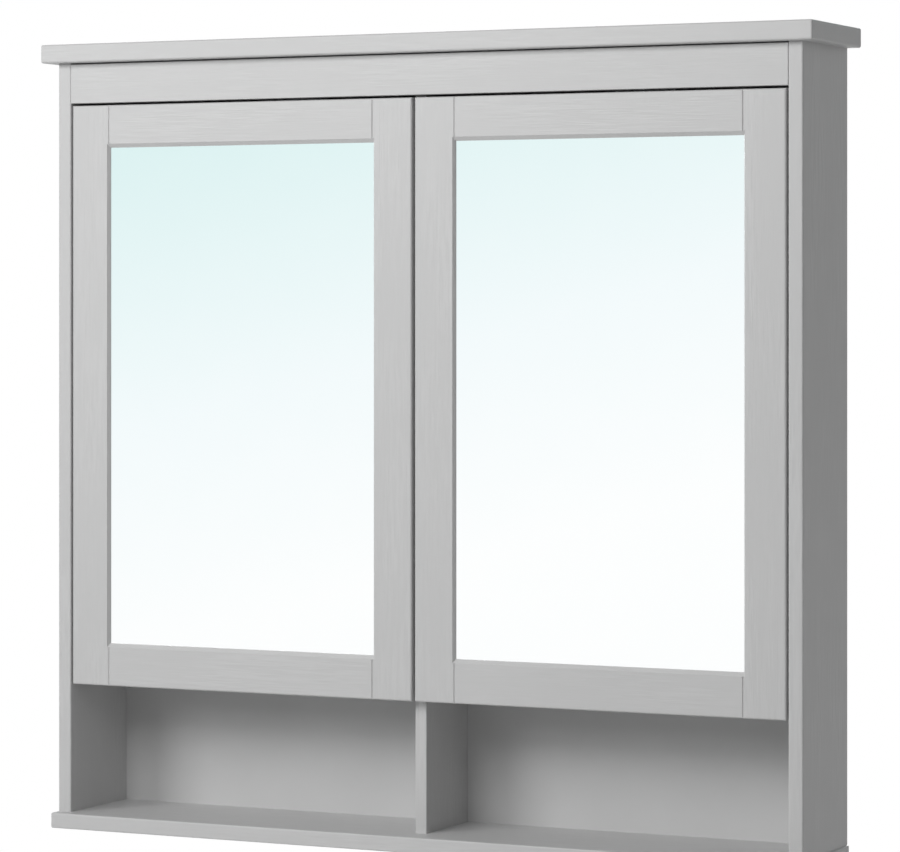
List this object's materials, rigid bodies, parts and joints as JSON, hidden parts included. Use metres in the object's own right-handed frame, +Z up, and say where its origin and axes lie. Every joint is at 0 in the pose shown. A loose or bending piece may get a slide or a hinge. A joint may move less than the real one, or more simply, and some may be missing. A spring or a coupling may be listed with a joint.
{
  "type": "mirror cabinet",
  "caption": "Wall-hung bathroom cabinet with framed mirror doors on concealed hinges, glass shelves inside, open niches below and an overhanging cornice.",
  "frame": {"origin": "midway between the two wall screw holes, on the plane of the wall", "axes": "+X to the right seen from the front, +Y into the wall, +Z up"},
  "size_m": [1.03, 0.162, 0.98],
  "materials": {
    "painted_wood": "pale grey paint, satin, with the pine's grain showing faintly through",
    "painted_back": "pale grey foil on thin fibreboard, satin",
    "backing_board": "pale grey painted fibreboard",
    "raw_pine": "bare pine",
    "beech_dowel": "bare beech",
    "mirror": "silvered float glass, faintly green",
    "shelf_glass": "clear tempered glass with ground edges",
    "hinge_steel": "nickel-plated pressed steel",
    "zinc_plate": "zinc-plated sheet steel",
    "zinc_casting": "bare zinc casting, matt",
    "screw_steel": "zinc-plated steel",
    "bumper": "clear soft pad, matt"
  },
  "bodies": {
    "cabinet": {"cornice_top": "painted_wood", "front_fascia": "painted_wood", "centre_partition": "painted_wood", "bottom_board": "painted_wood", "side_panel_left": "painted_wood", "side_panel_right": "painted_wood", "fixed_shelf_left": "painted_wood", "fixed_shelf_right": "painted_wood", "back_panel_left": "painted_back", "back_panel_right": "painted_back", "hanging_rail_left": "raw_pine", "hanging_rail_right": "raw_pine", "wall_bracket_left": "zinc_plate", "wall_bracket_right": "zinc_plate", "glass_shelf_lower_left": "shelf_glass", "glass_shelf_lower_right": "shelf_glass", "glass_shelf_upper_left": "shelf_glass", "glass_shelf_upper_right": "shelf_glass", "hinge_arm_upper_left": "hinge_steel", "hinge_arm_upper_right": "hinge_steel", "hinge_arm_lower_left": "hinge_steel", "hinge_arm_lower_right": "hinge_steel", "hinge_plate_upper_left": "hinge_steel", "hinge_plate_upper_right": "hinge_steel", "hinge_plate_lower_left": "hinge_steel", "hinge_plate_lower_right": "hinge_steel", "dowels": "beech_dowel", "cam_bolts": "screw_steel", "cam_nuts": "zinc_casting", "bottom_board_screws": "screw_steel", "bracket_screws": "screw_steel", "shelf_pins": "screw_steel", "hinge_plate_screws": "screw_steel", "hinge_arm_screws": "screw_steel"},
    "door_left": {"door_left_hinge_stile": "painted_wood", "door_left_meeting_stile": "painted_wood", "door_left_top_rail": "painted_wood", "door_left_bottom_rail": "painted_wood", "door_left_mirror": "mirror", "door_left_backing_board": "backing_board", "door_left_hinge_cup_upper": "hinge_steel", "door_left_hinge_cup_lower": "hinge_steel", "door_left_cup_screws": "screw_steel", "door_left_hinge_pins": "screw_steel", "door_left_joint_dowels": "beech_dowel", "door_left_backing_screws": "screw_steel", "door_left_bumpers": "bumper"},
    "door_right": {"door_right_hinge_stile": "painted_wood", "door_right_meeting_stile": "painted_wood", "door_right_top_rail": "painted_wood", "door_right_bottom_rail": "painted_wood", "door_right_mirror": "mirror", "door_right_backing_board": "backing_board", "door_right_hinge_cup_upper": "hinge_steel", "door_right_hinge_cup_lower": "hinge_steel", "door_right_cup_screws": "screw_steel", "door_right_hinge_pins": "screw_steel", "door_right_joint_dowels": "beech_dowel", "door_right_backing_screws": "screw_steel", "door_right_bumpers": "bumper"}
  },
  "joints": [
    {"name": "door_left_hinge", "type": "hinge", "parent": "cabinet", "child": "door_left", "pos_m": [-0.455, -0.1375, -0.3805], "axis": [0, 0, -1], "range_deg": [0, 105]},
    {"name": "door_right_hinge", "type": "hinge", "parent": "cabinet", "child": "door_right", "pos_m": [0.455, -0.1375, -0.3805], "axis": [0, 0, 1], "range_deg": [0, 105]}
  ]
}
